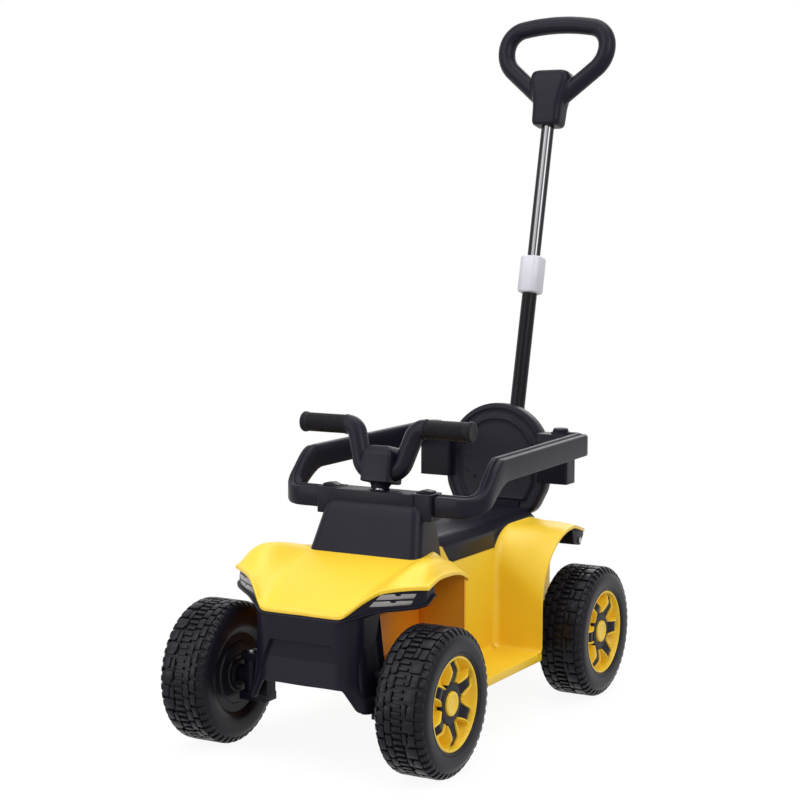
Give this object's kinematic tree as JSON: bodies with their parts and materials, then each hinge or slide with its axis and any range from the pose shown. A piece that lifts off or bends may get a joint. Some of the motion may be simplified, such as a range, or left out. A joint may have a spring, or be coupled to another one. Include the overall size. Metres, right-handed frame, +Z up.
{
  "type": "ride-on push car",
  "caption": "Toddler's ride-on push car shaped like a quad, with a turning handlebar, guard rail, backrest, chunky spoked wheels and a telescopic handle for a parent.",
  "frame": {"origin": "middle of the object's box on the ground under the wheels", "axes": "+Z up, -Y towards the hood, +X to the rider's left"},
  "size_m": [0.3744, 0.7745, 0.9601],
  "materials": {
    "yellow_plastic": "moulded satin gloss",
    "black_plastic": "moulded satin",
    "grip_rubber": "ribbed satin",
    "tyre_rubber": "blow-moulded hard plastic tyre, satin",
    "zinc_steel": "zinc plated",
    "silver_trim": "silver hot-stamped plastic",
    "black_tube": "powder coated",
    "chrome_tube": "plated tube",
    "white_plastic": "moulded gloss"
  },
  "bodies": {
    "body": {"front_hood": "yellow_plastic", "main_body": "yellow_plastic", "left_headlight": "black_plastic", "right_headlight": "black_plastic", "front_bumper": "black_plastic", "seat": "black_plastic", "guard_bridge": "black_plastic", "left_guard_socket": "black_plastic", "right_guard_socket": "black_plastic", "column_bushes": "black_plastic", "front_axle_beam": "black_plastic", "steering_cowl": "black_plastic", "backrest": "black_plastic", "rear_axle_sleeves": "black_plastic", "pole_socket": "black_plastic", "left_tail_bracket": "black_plastic", "right_tail_bracket": "black_plastic", "kingpins": "zinc_steel", "rear_axle": "zinc_steel", "rear_axle_nuts": "zinc_steel", "tail_screws": "zinc_steel", "bumper_screws": "zinc_steel", "left_lamp_bars": "silver_trim", "right_lamp_bars": "silver_trim", "lower_tube": "black_tube", "tube_collar": "white_plastic"},
    "steering": {"handlebar": "black_plastic", "left_grip": "grip_rubber", "right_grip": "grip_rubber", "steering_column": "zinc_steel"},
    "left_steer": {"left_knuckle": "black_plastic", "left_stub_axle": "zinc_steel"},
    "right_steer": {"right_knuckle": "black_plastic", "right_stub_axle": "zinc_steel"},
    "tie_rod": {"tie_rod": "black_plastic"},
    "left_guard": {"left_guard_arm": "black_plastic"},
    "right_guard": {"right_guard_arm": "black_plastic"},
    "left_button": {"left_guard_button": "black_plastic"},
    "right_button": {"right_guard_button": "black_plastic"},
    "left_latch": {"left_guard_latch": "black_plastic"},
    "right_latch": {"right_guard_latch": "black_plastic"},
    "handle": {"upper_tube": "chrome_tube", "tube_guide": "black_plastic", "push_handle": "black_plastic"},
    "front_left_wheel": {"front_left_tyre": "tyre_rubber", "front_left_rim": "yellow_plastic", "front_left_spoke_trim": "black_plastic", "front_left_hub_cap": "yellow_plastic"},
    "front_right_wheel": {"front_right_tyre": "tyre_rubber", "front_right_rim": "yellow_plastic", "front_right_spoke_trim": "black_plastic", "front_right_hub_cap": "yellow_plastic"},
    "rear_left_wheel": {"rear_left_tyre": "tyre_rubber", "rear_left_rim": "yellow_plastic", "rear_left_spoke_trim": "black_plastic", "rear_left_hub_cap": "yellow_plastic"},
    "rear_right_wheel": {"rear_right_tyre": "tyre_rubber", "rear_right_rim": "yellow_plastic", "rear_right_spoke_trim": "black_plastic", "rear_right_hub_cap": "yellow_plastic"}
  },
  "joints": [
    {"name": "steering_turn", "type": "hinge", "parent": "body", "child": "steering", "pos_m": [0, -0.1571, 0.32], "axis": [0, 0.2079, 0.9781], "range_deg": [-25, 25]},
    {"name": "left_steer_turn", "type": "hinge", "parent": "body", "child": "left_steer", "pos_m": [0.104, -0.2971, 0.09], "axis": [0, 0, 1], "range_deg": [-26, 26]},
    {"name": "right_steer_turn", "type": "hinge", "parent": "body", "child": "right_steer", "pos_m": [-0.104, -0.2971, 0.09], "axis": [0, 0, 1], "range_deg": [-26, 26]},
    {"name": "tie_rod_pivot", "type": "hinge", "parent": "left_steer", "child": "tie_rod", "pos_m": [0.104, -0.2671, 0.0808], "axis": [0, 0, 1], "range_deg": [-26, 26]},
    {"name": "front_left_wheel_spin", "type": "hinge", "parent": "left_steer", "child": "front_left_wheel", "pos_m": [0.153, -0.2971, 0.09], "axis": [1, 0, 0], "continuous": true},
    {"name": "rear_left_wheel_spin", "type": "hinge", "parent": "body", "child": "rear_left_wheel", "pos_m": [0.153, 0.1449, 0.09], "axis": [1, 0, 0], "continuous": true},
    {"name": "left_guard_pull", "type": "slide", "parent": "body", "child": "left_guard", "axis": [1, 0, 0], "range_m": [0, 0.028]},
    {"name": "left_button_press", "type": "slide", "parent": "body", "child": "left_button", "axis": [0, 0, -1], "range_m": [0, 0.004], "stiffness_N_per_m": 600, "springref_m": -0.001},
    {"name": "left_latch_press", "type": "slide", "parent": "body", "child": "left_latch", "axis": [0, 0, -1], "range_m": [0, 0.003], "stiffness_N_per_m": 600, "springref_m": -0.001},
    {"name": "front_right_wheel_spin", "type": "hinge", "parent": "right_steer", "child": "front_right_wheel", "pos_m": [-0.153, -0.2971, 0.09], "axis": [1, 0, 0], "continuous": true},
    {"name": "rear_right_wheel_spin", "type": "hinge", "parent": "body", "child": "rear_right_wheel", "pos_m": [-0.153, 0.1449, 0.09], "axis": [1, 0, 0], "continuous": true},
    {"name": "right_guard_pull", "type": "slide", "parent": "body", "child": "right_guard", "axis": [-1, 0, 0], "range_m": [0, 0.028]},
    {"name": "right_button_press", "type": "slide", "parent": "body", "child": "right_button", "axis": [0, 0, -1], "range_m": [0, 0.004], "stiffness_N_per_m": 600, "springref_m": -0.001},
    {"name": "right_latch_press", "type": "slide", "parent": "body", "child": "right_latch", "axis": [0, 0, -1], "range_m": [0, 0.003], "stiffness_N_per_m": 600, "springref_m": -0.001},
    {"name": "handle_slide", "type": "slide", "parent": "body", "child": "handle", "axis": [0, 0.2284, 0.9736], "range_m": [-0.14, 0]}
  ],
  "couplings": [
    {"joint": "left_steer_turn", "follows": "steering_turn", "ratio": 1},
    {"joint": "right_steer_turn", "follows": "steering_turn", "ratio": 1},
    {"joint": "tie_rod_pivot", "follows": "steering_turn", "ratio": -1}
  ]
}
